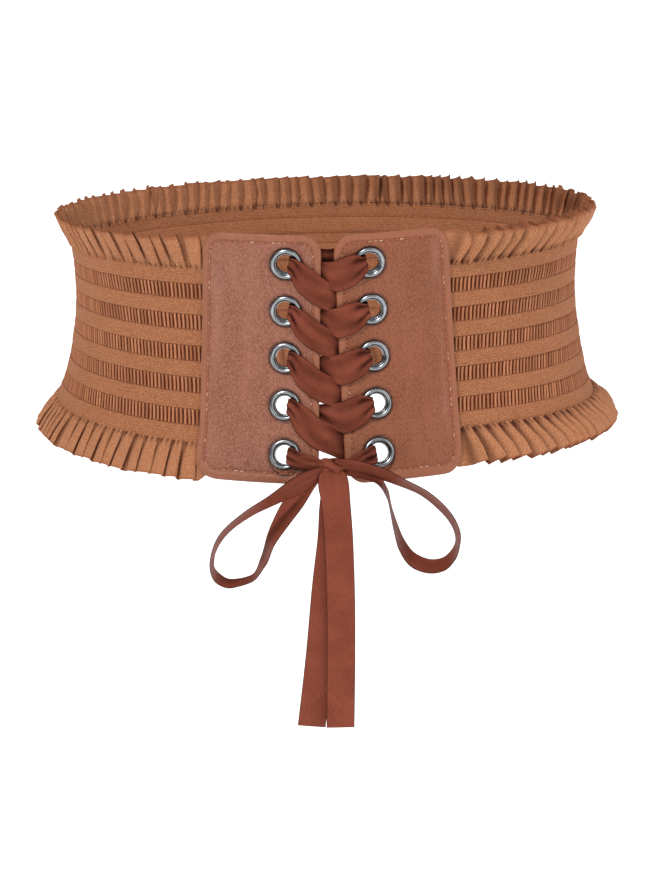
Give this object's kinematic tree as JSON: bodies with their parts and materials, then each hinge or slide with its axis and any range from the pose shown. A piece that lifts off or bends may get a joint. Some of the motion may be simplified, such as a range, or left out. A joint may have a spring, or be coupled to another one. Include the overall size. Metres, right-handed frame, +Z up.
{
  "type": "corset belt",
  "caption": "Wide waist belt with leather front panels laced together by a ribbon tied in a bow, a ribbed elastic band round the back and pleated ruffle edges.",
  "frame": {"origin": "centre of the waist hollow, halfway up the front panels", "axes": "+Z up, the laced front faces -Y, +X to the right as seen from the front"},
  "size_m": [0.2928, 0.2445, 0.2302],
  "materials": {
    "leather": "satin",
    "elastic": "woven and ribbed",
    "eyelet_metal": "polished",
    "ribbon": "satin"
  },
  "bodies": {
    "root": {"left_panel": "leather", "right_panel": "leather", "elastic_band": "elastic", "top_ruffle": "elastic", "bottom_ruffle": "elastic", "eyelet_left_1": "eyelet_metal", "eyelet_left_2": "eyelet_metal", "eyelet_left_3": "eyelet_metal", "eyelet_left_4": "eyelet_metal", "eyelet_left_5": "eyelet_metal", "eyelet_right_1": "eyelet_metal", "eyelet_right_2": "eyelet_metal", "eyelet_right_3": "eyelet_metal", "eyelet_right_4": "eyelet_metal", "eyelet_right_5": "eyelet_metal", "lace": "ribbon", "bow_knot": "ribbon", "bow_loop_left": "ribbon", "bow_loop_right": "ribbon", "tail_left": "ribbon", "tail_right": "ribbon"}
  },
  "joints": []
}
